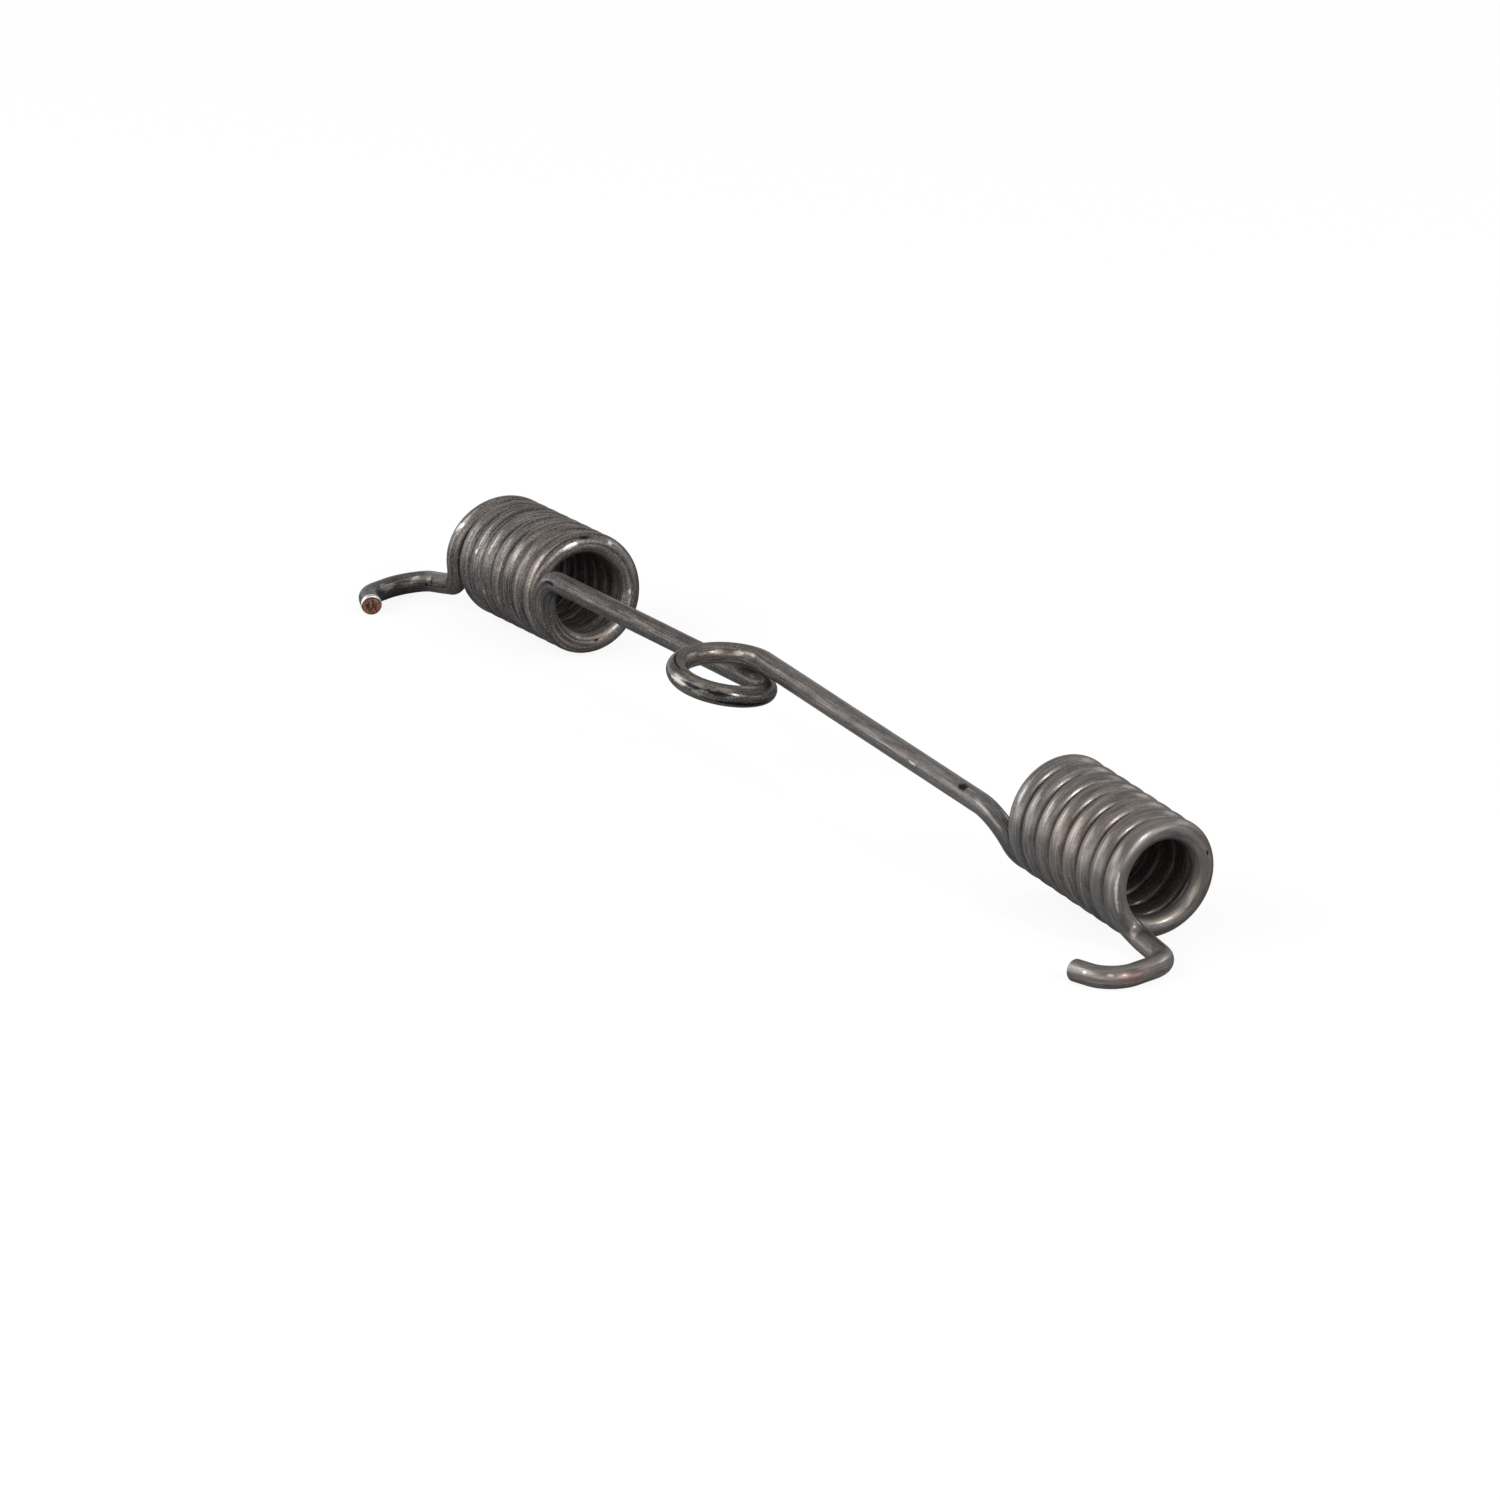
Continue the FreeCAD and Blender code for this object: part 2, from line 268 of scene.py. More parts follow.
# Rubbed wear on the left hook, and painted highlights and reflections: the marks at 498.0 and 508.0 are a
# painted highlight along the lower inner edge of the left coil's end ring, those at 1176.0 and 1184.0 one
# along the right coil's end ring, and those on the loop's front from 606.7 to 615.1 painted reflections
WEAR_AND_SHEEN = [
    (9.2, -54, 0.9, 0.3), (10.4, -18, 1.6, 0.3), (25.2, -45, 0.9, 0.5),
    (498.0, -94, 6.0, 0.3), (508.0, -72, 6.0, 0.4),
    (606.7, 27, 1.6, 0.4), (610.3, -45, 0.8, 0.3), (610.9, -9, 1.3, 0.4), (615.1, -18, 0.9, 0.5),
    (615.1, -63, 1.0, 0.3), (636.3, 81, 1.2, 0.5), (641.0, 81, 1.4, 0.5), (645.4, 72, 0.9, 0.4),
    (1176.0, -160, 6.0, 0.4), (1184.0, -150, 4.0, 0.4),
]
# Dark stains and pits, and painted shade: the marks at 607.5, 611.8 and 616.3 are painted dark reflections
# in bands along the loop's front, 624.5 a painted shadow line on the loop, and 523.5 painted shade in the
# crease at the left coil's elbow
STAINS_AND_SHADE = [
    (24.2, -9, 0.6, 0.4), (26.8, -32, 0.35, 0.8), (471.3, -153, 1.2, 0.35), (500.1, -112, 0.5, 0.3),
    (523.5, 126, 2.0, 0.3), (611.8, -38, 2.3, 0.5), (616.3, -38, 1.9, 0.38), (607.5, -80, 5.5, 0.45),
    (624.5, 8, 5.0, 0.2), (732.1, 48, 1.5, 0.8), (1192.2, -99, 0.55, 0.25),
]
RED_SMEARS = [(1250.3, 153, 2.4, 0.9), (934.0, 160, 1.6, 0.7)]
NICK_GLINT_SHARE, WEAR_SHEEN_SHARE, STAIN_SHADE_SHARE, SMEAR_SHARE = 0.9, 0.65, 0.94, 0.45
MARK_SPAN = (0.65, 1.25)
RAGGED_SIZE, RAGGED_DEPTH, RAGGED_SHADE_SOOT = 0.5, 1.5, 0.2


def add(tree, kind, inputs=None, **settings):
    """Add a node with its settings, values and links."""
    node = tree.nodes.new(kind)
    for name, value in settings.items():
        setattr(node, name, value)
    for key, value in (inputs or {}).items():
        if isinstance(value, bpy.types.NodeSocket):
            tree.links.new(value, node.inputs[key])
        else:
            node.inputs[key].default_value = value
    return node


def linear(hex_colour):
    """An sRGB hex colour as the linear colour that a shader takes."""
    channels = [int(hex_colour[place:place + 2], 16) / 255 for place in (1, 3, 5)]
    return [c / 12.92 if c <= 0.04045 else ((c + 0.055) / 1.055) ** 2.4 for c in channels] + [1.0]


def steel_material():
    """Dark drawn wire with die lines, rubbed crests, a faint heat tint, painted shade with some soot, and
    small marks, some of them painted highlights, reflections and shade.
    """
    material = bpy.data.materials.new("oil_tempered_steel")
    material.use_nodes = True
    tree = material.node_tree
    tree.nodes.clear()
    drawn = add(tree, "ShaderNodeAttribute", attribute_name="drawn").outputs["Vector"]
    solid = add(tree, "ShaderNodeTexCoord").outputs["Object"]

    def noise(place, width, length, detail, roughness=0.5):
        """Noise of a given width across the wire and length along it, in millimetres."""
        scale = (1 / (width * MM), 1 / (width * MM), 1 / (length * MM))
        place = add(tree, "ShaderNodeMapping", {"Vector": place, "Scale": scale}).outputs[0]
        inputs = {"Vector": place, "Scale": 1.0, "Detail": detail, "Roughness": roughness}
        return add(tree, "ShaderNodeTexNoise", inputs).outputs["Fac"]

    def spread(value, low, high, to_low, to_high):
        """A value stretched from one range to another and held inside it."""
        inputs = {"Value": value, "From Min": low, "From Max": high, "To Min": to_low, "To Max": to_high}
        return add(tree, "ShaderNodeMapRange", inputs).outputs["Result"]

    def blend(factor, first, second):
        """Two colours blended by a factor."""
        inputs = {0: factor, 6: first, 7: second}
        return add(tree, "ShaderNodeMix", inputs, data_type="RGBA").outputs[2]

    def number(operation, first, second):
        """One sum on two numbers."""
        return add(tree, "ShaderNodeMath", {0: first, 1: second}, operation=operation).outputs[0]

    def changing(along, stations):
        """A number that changes along the wire from station to station."""
        whole = stations[-1][0]
        shades = [[level / HEADROOM] * 3 + [1.0] for place, level in stations]
        ramp = add(tree, "ShaderNodeValToRGB", {0: number("DIVIDE", along, whole * MM)})
        stops = ramp.color_ramp.elements
        stops[1].position, stops[1].color = 1.0, shades[-1]
        stops[0].position, stops[0].color = 0.0, shades[0]
        for (place, level), shade in zip(stations[1:-1], shades[1:-1]):
            stops.new(place / whole).color = shade
        return number("MULTIPLY", ramp.outputs["Color"], HEADROOM)

    ragged = noise(drawn, RAGGED_SIZE, RAGGED_SIZE, detail=3.0)
    edge = number("MULTIPLY", number("SUBTRACT", ragged, 0.5), RAGGED_DEPTH)

    def marked(marks):
        """Where a group of marks lies, with ragged edges."""
        share = None
        for along, around, half_length, half_width in marks:
            angle = math.radians(around)
            centre = Vector((math.cos(angle) * WIRE_RADIUS, math.sin(angle) * WIRE_RADIUS, along)) * MM
            size = Vector((1 / half_width, 1 / half_width, 1 / half_length)) / MM
            away = add(tree, "ShaderNodeVectorMath", {0: drawn, 1: centre}, operation="SUBTRACT").outputs[0]
            away = add(tree, "ShaderNodeVectorMath", {0: away, 1: size}, operation="MULTIPLY").outputs[0]
            away = add(tree, "ShaderNodeVectorMath", {0: away}, operation="LENGTH").outputs["Value"]
            here = spread(number("ADD", away, edge), *MARK_SPAN, 1, 0)
            share = here if share is None else number("MAXIMUM", share, here)
        return share

    die_lines = noise(drawn, DIE_LINE, DIE_LINE_LENGTH, detail=2.0)
    hairlines = noise(drawn, HAIRLINE, HAIRLINE_LENGTH, detail=1.0)
    rubs = noise(drawn, RUB_WIDTH, RUB_LENGTH, detail=3.0, roughness=0.6)
    scale = noise(drawn, SCALE_WIDTH, SCALE_LENGTH, detail=4.0, roughness=0.62)
    specks = noise(drawn, SPECK_WIDTH, SPECK_LENGTH, detail=2.0)
    heat = noise(solid, HEAT_PATCH, HEAT_PATCH, detail=2.0)
    grain = noise(solid, GRAIN, GRAIN, detail=2.0)

    # The oxide, its scale and the rubbed crests
    oxide = blend(spread(heat, *HEAT_SPAN, 0, 1), linear(GREY_OXIDE), linear(BROWN_OXIDE))
    oxide = blend(spread(scale, *SCALE_SPAN, 0, SCALE_SHARE), oxide, linear(DARK_SCALE))
    rub_share = spread(rubs, *RUB_SPAN, 0, RUB_SHARE)
    colour = blend(rub_share, oxide, linear(RUBBED_STEEL))

    # The lines, hairs and grain of the drawn surface, and the wire's own change along its length
    along = add(tree, "ShaderNodeSeparateXYZ", {0: drawn}).outputs["Z"]
    streaked = changing(along, STREAKS)
    tone = number("MULTIPLY", spread(die_lines, *LINE_SPAN, *LINE_TONES),
                  spread(hairlines, *HAIR_SPAN, *HAIR_TONES))
    tone = number("MULTIPLY", tone, spread(grain, *GRAIN_SPAN, *GRAIN_TONES))
    tone = number("MULTIPLY", number("SUBTRACT", tone, 1.0), streaked)
    tone = number("MULTIPLY", number("ADD", tone, 1.0), changing(along, PALENESS))
    colour = add(tree, "ShaderNodeVectorMath", {0: colour, "Scale": tone}, operation="SCALE").outputs[0]
    specks = number("MULTIPLY", spread(specks, *SPECK_SPAN, 0, SPECK_SHARE), streaked)
    colour = blend(specks, colour, linear(SPECK_STEEL))

    # Painted shade with some soot, and the single marks, among them painted highlights, reflections and
    # shade
    soot_and_shade = add(tree, "ShaderNodeAttribute", attribute_name="soot_and_shade").outputs["Fac"]
    soot_and_shade = number("ADD", soot_and_shade, number("MULTIPLY", edge, RAGGED_SHADE_SOOT))
    soot_and_shade = spread(soot_and_shade, *SHADE_SOOT_SPAN, 0, SHADE_SOOT_SHARE)
    colour = blend(soot_and_shade, colour, linear(SHADE_AND_SOOT_BLACK))
    colour = blend(number("MULTIPLY", marked(WEAR_AND_SHEEN), WEAR_SHEEN_SHARE), colour, linear(WEAR_AND_SHEEN_STEEL))
    stain_and_shade = marked(STAINS_AND_SHADE)
    colour = blend(number("MULTIPLY", stain_and_shade, STAIN_SHADE_SHARE), colour, linear(STAIN_AND_SHADE_BLACK))
    colour = blend(number("MULTIPLY", marked(RED_SMEARS), SMEAR_SHARE), colour, linear(SMEAR_RED))
    colour = blend(number("MULTIPLY", marked(NICKS_AND_GLINTS), NICK_GLINT_SHARE), colour, linear(NICK_AND_GLINT_STEEL))

    # The finish: rubbed crests are smoother, and the painted shade with soot and the dark marks carry no
    # oil
    roughness = spread(rub_share, 0, RUB_SHARE, PLAIN_ROUGHNESS, RUBBED_ROUGHNESS)
    roughness = number("MULTIPLY", roughness, changing(along, DULLNESS))
    roughness = number("ADD", roughness, number("MULTIPLY", soot_and_shade, SOOT_ROUGHNESS))
    film = number("MULTIPLY", number("SUBTRACT", 1.0, number("MAXIMUM", soot_and_shade, stain_and_shade)), OIL_FILM)
    bump = {"Height": die_lines, "Distance": LINE_DEPTH * MM, "Strength": LINE_BUMP}
    bump = add(tree, "ShaderNodeBump", bump).outputs["Normal"]
    bump = {"Height": scale, "Distance": SCALE_DEPTH * MM, "Strength": SCALE_BUMP, "Normal": bump}
    bump = add(tree, "ShaderNodeBump", bump).outputs["Normal"]
    surface = {"Base Color": colour, "Metallic": METAL_SHARE, "Roughness": roughness,
               "Specular IOR Level": SHINE, "Specular Tint": EDGE_TINT,
               "Coat Weight": film, "Coat Roughness": OIL_ROUGHNESS, "Normal": bump}
    surface = add(tree, "ShaderNodeBsdfPrincipled", surface).outputs["BSDF"]
    add(tree, "ShaderNodeOutputMaterial", {"Surface": surface})
    return material


# The spring wire: the round section drawn along the route by Geometry Nodes, with the faint swell
# of cold-worked wire. Each point keeps its place on the straightened wire for the steel's pattern.
SIDES = 40
SWELL, SWELL_LENGTH = 0.05, 6.0
SWELL_MIDDLE = 0.6


def wire_tree():
    """The node tree that draws a wire along a curve."""
    tree = bpy.data.node_groups.new("drawn_wire", "GeometryNodeTree")
    sockets = [("Geometry", "Geometry"), ("Wire Radius", "Float"), ("Sides", "Int"), ("Swell", "Float"),
               ("Swell Length", "Float"), ("Finish", "Material")]
    for name, kind in sockets:
        tree.interface.new_socket(name=name, in_out="INPUT", socket_type="NodeSocket" + kind)
    tree.interface.new_socket(name="Geometry", in_out="OUTPUT", socket_type="NodeSocketGeometry")
    given = add(tree, "NodeGroupInput").outputs

    def keep(geometry, name, value, kind):
        """Store a value on each point under a name."""
        inputs = {"Geometry": geometry, "Name": name, "Value": value}
        return add(tree, "GeometryNodeStoreNamedAttribute", inputs, data_type=kind).outputs["Geometry"]

    def kept(name, kind):
        """Read a stored value."""
        node = add(tree, "GeometryNodeInputNamedAttribute", {"Name": name}, data_type=kind)
        return node.outputs["Attribute"]

    along = add(tree, "GeometryNodeSplineParameter").outputs["Length"]
    spine = keep(given["Geometry"], "along", along, "FLOAT")
    circle = {"Resolution": given["Sides"], "Radius": given["Wire Radius"]}
    section = add(tree, "GeometryNodeCurvePrimitiveCircle", circle).outputs["Curve"]
    position = add(tree, "GeometryNodeInputPosition").outputs["Position"]
    section = keep(section, "section", position, "FLOAT_VECTOR")
    tube = {"Curve": spine, "Profile Curve": section, "Fill Caps": True}
    mesh = add(tree, "GeometryNodeCurveToMesh", tube).outputs["Mesh"]
    round_place = add(tree, "ShaderNodeSeparateXYZ", {0: kept("section", "FLOAT_VECTOR")}).outputs
    drawn_place = {"X": round_place["X"], "Y": round_place["Y"], "Z": kept("along", "FLOAT")}
    drawn = add(tree, "ShaderNodeCombineXYZ", drawn_place).outputs["Vector"]
    mesh = keep(mesh, "drawn", drawn, "FLOAT_VECTOR")
    per_metre = {0: 1.0, 1: given["Swell Length"]}
    per_metre = add(tree, "ShaderNodeMath", per_metre, operation="DIVIDE").outputs[0]
    wave = {"Vector": drawn, "Scale": per_metre, "Detail": 2.0}
    wave = add(tree, "ShaderNodeTexNoise", wave).outputs["Fac"]
    wave = add(tree, "ShaderNodeMath", {0: wave, 1: SWELL_MIDDLE}, operation="SUBTRACT").outputs[0]
    swell = add(tree, "ShaderNodeMath", {0: wave, 1: given["Swell"]}, operation="MULTIPLY").outputs[0]
    outward = add(tree, "GeometryNodeInputNormal").outputs["Normal"]
    offset = add(tree, "ShaderNodeVectorMath", {0: outward, "Scale": swell}, operation="SCALE").outputs[0]
    mesh = add(tree, "GeometryNodeSetPosition", {"Geometry": mesh, "Offset": offset}).outputs[0]
    mesh = add(tree, "GeometryNodeSetShadeSmooth", {"Geometry": mesh}).outputs[0]
    mesh = add(tree, "GeometryNodeRealizeInstances", {"Geometry": mesh}).outputs[0]
    mesh = add(tree, "GeometryNodeSetMaterial", {"Geometry": mesh, "Material": given["Finish"]}).outputs[0]
    add(tree, "NodeGroupOutput", {"Geometry": mesh})
    return tree


curve = bpy.data.curves.new("wire_route", "CURVE")
curve.dimensions = "3D"
spline = curve.splines.new("POLY")
spline.points.add(len(route) - 1)
for point, place in zip(spline.points, route):
    point.co = (*place, 1)
route_object = bpy.data.objects.new("wire_route", curve)
bpy.context.scene.collection.objects.link(route_object)
drawing = route_object.modifiers.new("drawing", "NODES")
drawing.node_group = wire_tree()
settings = {"Wire Radius": WIRE_RADIUS * MM, "Sides": SIDES, "Swell": SWELL * MM,
            "Swell Length": SWELL_LENGTH * MM, "Finish": steel_material()}
for item in drawing.node_group.interface.items_tree:
    if item.in_out == "INPUT" and item.name in settings:
        drawing[item.identifier] = settings[item.name]
depsgraph = bpy.context.evaluated_depsgraph_get()
wire_mesh = bpy.data.meshes.new_from_object(route_object.evaluated_get(depsgraph))
route_object.modifiers.remove(drawing)
bpy.data.objects.remove(route_object)
wire = bpy.data.objects.new("wire", wire_mesh)
bpy.context.scene.collection.objects.link(wire)
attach(wire, "root")
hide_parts("spring_wire")

# The wire's two ends. The left one is sheared off: the blade rolled over and burnished a crescent at
# its top, and the rest tore, slopes a little out towards the bench and has rusted to a copper
# brown. The right one is cropped plain, with a rounded edge.

# The burnished lip, widest at its middle in degrees round the end, and the groove under it
RIM_WIDTH, LIP_WIDTH, LIP_DROP = 0.05, 0.5, 0.3
LIP_ROLL, LIP_RISE = -0.03, 0.16
LIP_MIDDLE, LIP_HALF = 96.0, 90.0
GROOVE_WIDTH, UNDERCUT_WIDTH, UNDERCUT_DEPTH = 0.04, 0.28, 0.16
# The torn face, and the flat that the tool pressed on the wire: each faces a way across and up
TEAR_OUT, TEAR_SLOPE, TEAR_ROUGH = 0.10, 0.14, 0.06
TEAR_FACING = (-0.5, -0.87)
TEAR_LUMPS = ((1.7, 1.0), (4.1, 0.5))
TEAR_RINGS = (0.86, 0.72, 0.58, 0.44, 0.3, 0.16)
FLAT_CUT, FLAT_FACING = 0.25, (-0.8, -0.6)
STREAK_TURN, STREAKS_PER_MM = 20, Vector((3.0, 0.9, 0.9))
# Each crack: its middle across and down the face, its turn in degrees, and how narrow and short
CRACKS = [(0.4, 0.0, 18, 4.0, 0.75), (-0.7, 0.3, 24, 2.6, 1.4), (-0.1, 0.8, -30, 5.0, 2.0)]
# The plain end's rings: each one's share of the wire's radius, and how far it stands out
PLAIN_RINGS = ((0.96, 0.14), (0.87, 0.28), (0.75, 0.38), (0.6, 0.45), (0.4, 0.49), (0.2, 0.50))


def burnished_material():
    """Bright steel that the shear blade smeared."""
    material = bpy.data.materials.new("burnished_shear_steel")
    material.use_nodes = True
    tree = material.node_tree
    tree.nodes.clear()
    surface = {"Base Color": linear("#ece8e0"), "Metallic": 0.85, "Roughness": 0.4}
    surface = add(tree, "ShaderNodeBsdfPrincipled", surface).outputs["BSDF"]
    add(tree, "ShaderNodeOutputMaterial", {"Surface": surface})
    return material


def tear_material():
    """Torn steel with thin brown rust: dull, streaked across and split by three dark cracks."""
    material = bpy.data.materials.new("rusted_shear_tear")
    material.use_nodes = True
    tree = material.node_tree
    tree.nodes.clear()
    drawn = add(tree, "ShaderNodeAttribute", attribute_name="drawn").outputs["Vector"]

    def tilted(place, degrees, size):
        """A place turned on the face and then stretched."""
        place = {"Vector": place, "Rotation": (0, 0, math.radians(degrees))}
        place = {0: add(tree, "ShaderNodeMapping", place).outputs[0], 1: size}
        return add(tree, "ShaderNodeVectorMath", place, operation="MULTIPLY").outputs[0]

    streaks = tilted(drawn, STREAK_TURN, STREAKS_PER_MM / MM)
    streaks = {"Vector": streaks, "Scale": 1.0, "Detail": 3.0, "Roughness": 0.6}
    streaks = add(tree, "ShaderNodeTexNoise", streaks).outputs["Fac"]
    share = {"Value": streaks, "From Min": 0.4, "From Max": 0.62}
    share = add(tree, "ShaderNodeMapRange", share).outputs["Result"]
    colour = {0: share, 6: linear("#4e2d23"), 7: linear("#ab755c")}
    colour = add(tree, "ShaderNodeMix", colour, data_type="RGBA").outputs[2]
    for crack in CRACKS:
        middle, size = Vector((*crack[:2], 0)) * MM, Vector((*crack[3:], 0)) / MM
        away = add(tree, "ShaderNodeVectorMath", {0: drawn, 1: middle}, operation="SUBTRACT").outputs[0]
        away = tilted(away, crack[2], size)
        away = add(tree, "ShaderNodeVectorMath", {0: away}, operation="LENGTH").outputs["Value"]
        share = {"Value": away, "From Min": 0.5, "From Max": 1.2, "To Min": 0.95, "To Max": 0.0}
        share = add(tree, "ShaderNodeMapRange", share).outputs["Result"]
        colour = {0: share, 6: colour, 7: linear("#1f1512")}
        colour = add(tree, "ShaderNodeMix", colour, data_type="RGBA").outputs[2]
    surface = {"Base Color": colour, "Metallic": 0.35, "Roughness": 0.6}
    surface = add(tree, "ShaderNodeBsdfPrincipled", surface).outputs["BSDF"]
    add(tree, "ShaderNodeOutputMaterial", {"Surface": surface})
    return material


def torn(place):
    """How far the torn face stands out at a place on it, in millimetres."""
    rough = sum(level * lump(place * size) for size, level in TEAR_LUMPS)
    return TEAR_OUT + TEAR_SLOPE * place.dot(tear_way) / WIRE_RADIUS + TEAR_ROUGH * rough


def close_end(cap, rings):
    """Close an end of the wire by rings of points. Each ring gives a place and a reach outwards."""
    rim, centre, outward = list(cap.verts), cap.calc_center_median(), cap.normal.copy()
    bmesh.ops.delete(end_mesh, geom=[cap], context="FACES_ONLY")
    spokes = [(vert.co - centre) / MM for vert in rim]
    outer, laid = rim, []
    for ring_place, material_index in rings:
        inner = []
        for number, spoke in enumerate(spokes):
            place, out = ring_place(number, spoke)
            vert = end_mesh.verts.new(centre + (place + outward * out) * MM)
            inward = place.length / spoke.length
            drawn_place = rim[number][drawn_layer]
            vert[drawn_layer] = Vector((drawn_place.x * inward, drawn_place.y * inward, drawn_place.z))
            inner.append(vert)
        for number in range(len(rim)):
            after = (number + 1) % len(rim)
            face = end_mesh.faces.new((outer[number], outer[after], inner[after], inner[number]))
            face.material_index, face.smooth = material_index, True
        outer = inner
        laid.append(inner)
    last = end_mesh.faces.new(outer)
    last.material_index, last.smooth = material_index, True
    return laid


wire_mesh.materials.append(burnished_material())
wire_mesh.materials.append(tear_material())
STEEL, BURNISHED, TORN = 0, 1, 2
end_mesh = bmesh.new()
end_mesh.from_mesh(wire_mesh)
# This layer holds the painted shade with some soot
shade_soot_layer = end_mesh.verts.layers.float.new("soot_and_shade")
drawn_layer = end_mesh.verts.layers.float_vector["drawn"]
caps = [face for face in end_mesh.faces if len(face.verts) > 4]
sheared, plain = sorted(caps, key=lambda face: (face.calc_center_median() - route[0]).length)
rim, centre, outward = list(sheared.verts), sheared.calc_center_median(), sheared.normal.copy()
side = UP.cross(outward).normalized()
flat_way, tear_way = [
    (side * across + UP * up).normalized() for across, up in (FLAT_FACING, TEAR_FACING)
]
lips = []
for vert in rim:
    spoke = vert.co - centre
    angle = math.degrees(math.atan2(spoke.dot(UP), spoke.dot(side)))
    turn = (angle - LIP_MIDDLE + 180) % 360 - 180
    lips.append(math.cos(math.radians(min(LIP_HALF, abs(turn)))))


def lip_edge(number, spoke):
    """The share of a spoke where the burnished lip ends."""
    return 1 - (RIM_WIDTH + LIP_WIDTH * lips[number]) / spoke.length


def tear_edge(number, spoke):
    """The share of a spoke where the torn face starts, inside the groove."""
    return lip_edge(number, spoke) - (GROOVE_WIDTH + UNDERCUT_WIDTH * lips[number]) / spoke.length


def undercut(number, spoke):
    """The groove where the torn face starts."""
    place = spoke * tear_edge(number, spoke)
    return place, torn(place) - UNDERCUT_DEPTH * lips[number]


def tear_ring(share):
    """A ring of the torn face."""
    def ring_place(number, spoke):
        place = spoke * (tear_edge(number, spoke) * share)
        return place, torn(place)
    return ring_place


def rolled_lip(number, spoke):
    """The middle of the lip, which rolls a little inwards."""
    return spoke * (1 + lip_edge(number, spoke)) / 2, LIP_ROLL * lips[number]


def raised_lip(number, spoke):
    """The inner edge of the lip, which stands out."""
    return spoke * lip_edge(number, spoke), LIP_RISE * lips[number]


sheared_rings = [(rolled_lip, BURNISHED), (raised_lip, BURNISHED), (undercut, STEEL)]
sheared_rings += [(tear_ring(share), TORN) for share in TEAR_RINGS]
groove = close_end(sheared, sheared_rings)[2]
for number, vert in enumerate(rim):
    beyond = (vert.co - centre).dot(flat_way) / MM - (WIRE_RADIUS - FLAT_CUT)
    vert.co -= outward * (LIP_DROP * lips[number] * MM) + flat_way * (max(0.0, beyond) * MM)
plain_rings = [
    (lambda number, spoke, share=share, out=out: (spoke * share, out), STEEL)
    for share, out in PLAIN_RINGS
]
close_end(plain, plain_rings)

# Painted shade, with some soot: where a turn faces its neighbour and inside each coil beyond its first
# turn at each end, and a painted shadow in the sheared end's groove. Each coil gives its first and
# last place and how dark its painted shade inside is.
LEFT_TURNS, RIGHT_TURNS = (38.5, 514.0, 0.68), (745.0, 1222.0, 0.9)
ONE_TURN = 59.4
VALLEY_SHADE, VALLEY_SPAN = 0.55, (0.9, 1.0)
# How far the surface has to face inwards, and how many turns it lies from the coil's end
INWARD_SPAN, DEPTH_SPAN = (0.1, 0.7), (0.75, 1.5)
end_mesh.normal_update()
for vert in groove:
    vert[shade_soot_layer] = 1.0


def ramp(value, start, full):
    """A value as a share of the way from a start to a full mark."""
    return min(1.0, max(0.0, (value - start) / (full - start)))


for first, last, inside, axis in ((*LEFT_TURNS, left_axis), (*RIGHT_TURNS, right_axis)):
    turns = [vert for vert in end_mesh.verts if first < vert[drawn_layer].z / MM < last]
    middle = sum((vert.co for vert in turns), Vector()) / len(turns)
    for vert in turns:
        along = vert[drawn_layer].z / MM
        from_end = min(along - first, last - along) / ONE_TURN
        arm = middle - vert.co
        sideways = vert.normal.dot(axis)
        inward = (arm - axis * arm.dot(axis)).normalized().dot(vert.normal)
        touched = from_end > 1 or arm.dot(axis) * sideways > 0
        valley = VALLEY_SHADE * ramp(abs(sideways), *VALLEY_SPAN) if touched else 0.0
        depth = inside * ramp(inward, *INWARD_SPAN) * ramp(from_end, *DEPTH_SPAN)
        vert[shade_soot_layer] = max(valley, depth)
end_mesh.to_mesh(wire_mesh)
end_mesh.free()

# Floor: a plain sheet of pale paper, white to the camera with the spring's own soft shadow on it.
# Where the steel mirrors it, its colour is a painted shade, pale in front and dark behind the spring.
FLOOR_HALF = 6.0
PAPER_WHITE = "#f6f6f6"
WHITE_SHARE, WHITE_STRENGTH = 0.82, 1.08
PAPER_FRONT, PAPER_BEHIND = 0.44, 0.08
PAPER_TINT = Vector((0.95, 1.0, 1.06))
SHADE_START, SHADE_END = -0.12, 0.25


def paper_material():
    """Matt paper that the camera sees as white."""
    material = bpy.data.materials.new("matt_white_paper")
    material.use_nodes = True
    tree = material.node_tree
    tree.nodes.clear()
    seen = add(tree, "ShaderNodeLightPath").outputs["Is Camera Ray"]
    # The paper's colour for all but the camera is a painted shade, pale in front and dark behind
    place = add(tree, "ShaderNodeTexCoord").outputs["Object"]
    place = add(tree, "ShaderNodeSeparateXYZ", {0: place}).outputs["Y"]
    shade = {"Value": place, "From Min": SHADE_START, "From Max": SHADE_END,
             "To Min": PAPER_FRONT, "To Max": PAPER_BEHIND}
    shade = add(tree, "ShaderNodeMapRange", shade).outputs["Result"]
    shade = {0: PAPER_TINT, "Scale": shade}
    shade = add(tree, "ShaderNodeVectorMath", shade, operation="SCALE").outputs[0]
    tint = {0: seen, 6: shade, 7: linear(PAPER_WHITE)}
    tint = add(tree, "ShaderNodeMix", tint, data_type="RGBA").outputs[2]
    matt = add(tree, "ShaderNodeBsdfDiffuse", {"Color": tint}).outputs[0]
    white = {"Color": (1, 1, 1, 1), "Strength": WHITE_STRENGTH}
    white = add(tree, "ShaderNodeEmission", white).outputs[0]
    share = add(tree, "ShaderNodeMath", {0: seen, 1: WHITE_SHARE}, operation="MULTIPLY").outputs[0]
    both = add(tree, "ShaderNodeMixShader", {0: share, 1: matt, 2: white}).outputs[0]
    add(tree, "ShaderNodeOutputMaterial", {"Surface": both})
    return material


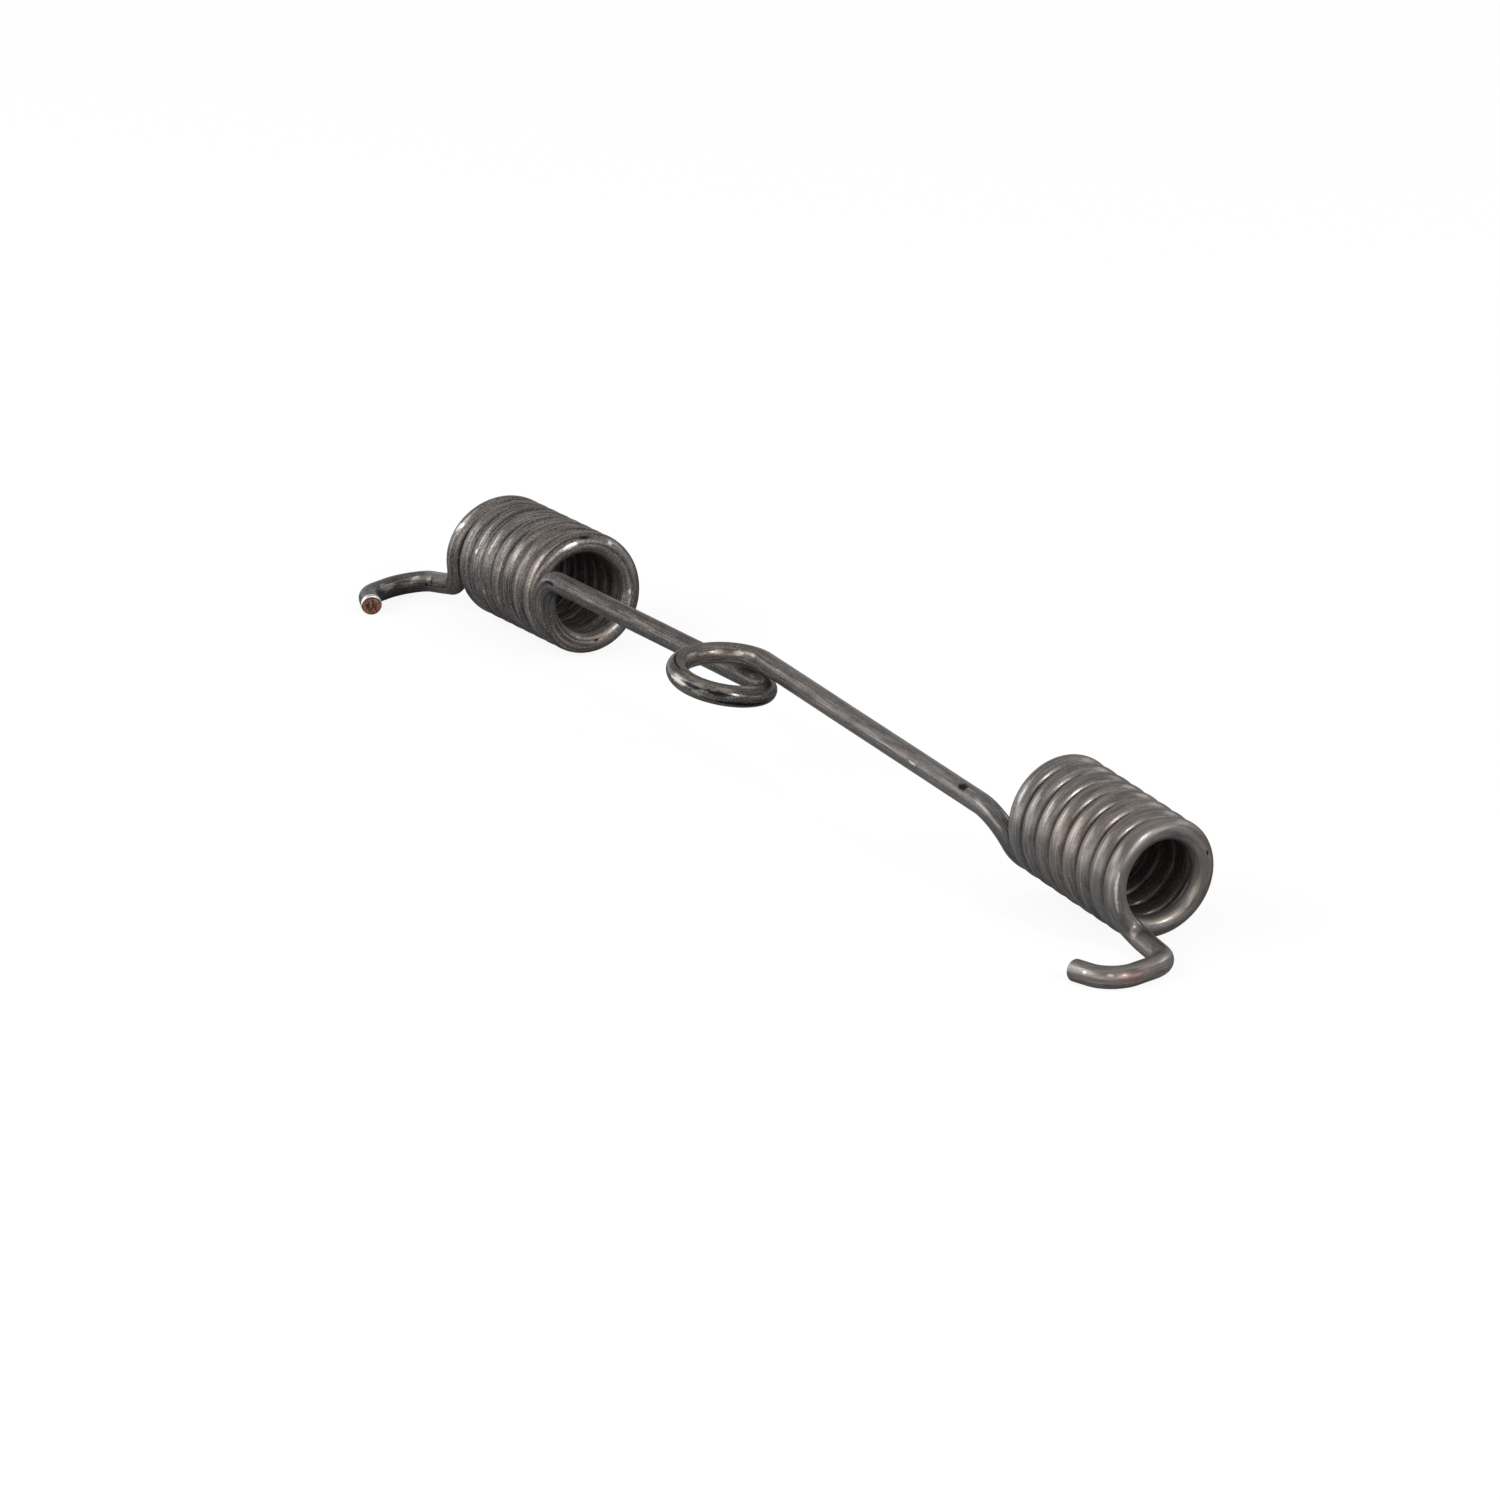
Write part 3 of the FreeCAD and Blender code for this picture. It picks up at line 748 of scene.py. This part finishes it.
corners = [(-FLOOR_HALF, -FLOOR_HALF, 0), (FLOOR_HALF, -FLOOR_HALF, 0),
           (FLOOR_HALF, FLOOR_HALF, 0), (-FLOOR_HALF, FLOOR_HALF, 0)]
floor_mesh = bpy.data.meshes.new("floor")
floor_mesh.from_pydata(corners, [], [(0, 1, 2, 3)])
floor_mesh.materials.append(paper_material())
floor = bpy.data.objects.new("floor", floor_mesh)
bpy.context.scene.collection.objects.link(floor)

# Light: a plain studio room with a paler band low on its front walls, a wide soft box to the left
# of the camera, two fill panels in front, a small lamp to the right and two strips behind.
ROOM_LEVEL, BAND_LEVEL, BAND_HEIGHT = 0.36, 0.82, 0.4
LAMP_DISTANCE = 1.2


def room_light():
    """A world that is white to the camera, and grey with its pale band for everything else."""
    world = bpy.data.worlds.new("studio_room")
    world.use_nodes = True
    tree = world.node_tree
    tree.nodes.clear()
    seen = add(tree, "ShaderNodeLightPath").outputs["Is Camera Ray"]
    way = add(tree, "ShaderNodeTexCoord").outputs["Generated"]
    way = add(tree, "ShaderNodeSeparateXYZ", {0: way}).outputs
    height = add(tree, "ShaderNodeMath", {0: way["Z"]}, operation="ABSOLUTE").outputs[0]
    band = {"Value": height, "From Min": 0.0, "From Max": BAND_HEIGHT, "To Min": BAND_LEVEL, "To Max": 0.0}
    band = add(tree, "ShaderNodeMapRange", band).outputs["Result"]
    front = add(tree, "ShaderNodeMath", {0: 1.0, 1: way["Y"]}, operation="SUBTRACT").outputs[0]
    dim = {0: band, 1: front, 2: ROOM_LEVEL}
    dim = add(tree, "ShaderNodeMath", dim, operation="MULTIPLY_ADD").outputs[0]
    strength = add(tree, "ShaderNodeMix", {0: seen, 2: dim, 3: 1.0}, data_type="FLOAT").outputs[0]
    air = add(tree, "ShaderNodeBackground", {"Color": (1, 1, 1, 1), "Strength": strength}).outputs[0]
    add(tree, "ShaderNodeOutputWorld", {"Surface": air})
    return world


def add_lamp(name, azimuth, elevation, size, power, tilt=0):
    """An area lamp that faces the spring from a bearing and a height, in degrees."""
    bearing, height = math.radians(azimuth), math.radians(elevation)
    level_way = Vector((math.cos(bearing), math.sin(bearing), 0))
    place = (level_way * math.cos(height) + UP * math.sin(height)) * LAMP_DISTANCE
    lamp = bpy.data.lights.new(name, "AREA")
    lamp.shape = "RECTANGLE"
    lamp.size, lamp.size_y = size
    lamp.energy = power
    lamp_object = bpy.data.objects.new(name, lamp)
    lamp_object.location = place
    facing = place.to_track_quat("Z", "Y") @ Quaternion((0, 0, 1), math.radians(tilt))
    lamp_object.rotation_euler = facing.to_euler()
    bpy.context.scene.collection.objects.link(lamp_object)


bpy.context.scene.world = room_light()
add_lamp("soft_box", -112, 34, (1.3, 0.6), 6.5)
add_lamp("left_fill", -62, 13, (0.5, 0.5), 0.8)
add_lamp("right_fill", 0, 14, (0.5, 0.5), 1.1)
add_lamp("small_lamp", 7, 27, (0.14, 0.24), 3.2, tilt=28)
add_lamp("strip_right", 40, 12, (0.5, 0.4), 0.7)
add_lamp("strip_behind", 86, 30, (0.7, 0.3), 1.2)

# Camera: where the photograph was taken from, about two metres away through a long lens
CAMERA_PLACE = (1.704243, -0.977637, 0.595322)
CAMERA_RIGHT = Vector((0.499428, 0.866204, -0.016191))
CAMERA_BACK = Vector((0.831934, -0.474285, 0.287992))
SENSOR, LENS, NEAR_CLIP = 36.0, 272.66, 0.05
camera_data = bpy.data.cameras.new("camera")
camera_data.sensor_width = SENSOR
camera_data.lens = LENS
camera_data.clip_start = NEAR_CLIP
camera = bpy.data.objects.new("camera", camera_data)
camera_up = CAMERA_BACK.cross(CAMERA_RIGHT)
camera_turn = Matrix((CAMERA_RIGHT, camera_up, CAMERA_BACK)).transposed()
camera.matrix_world = Matrix.Translation(CAMERA_PLACE) @ camera_turn.to_4x4()
bpy.context.scene.collection.objects.link(camera)
bpy.context.scene.camera = camera
bpy.context.scene.view_settings.view_transform = "Standard"
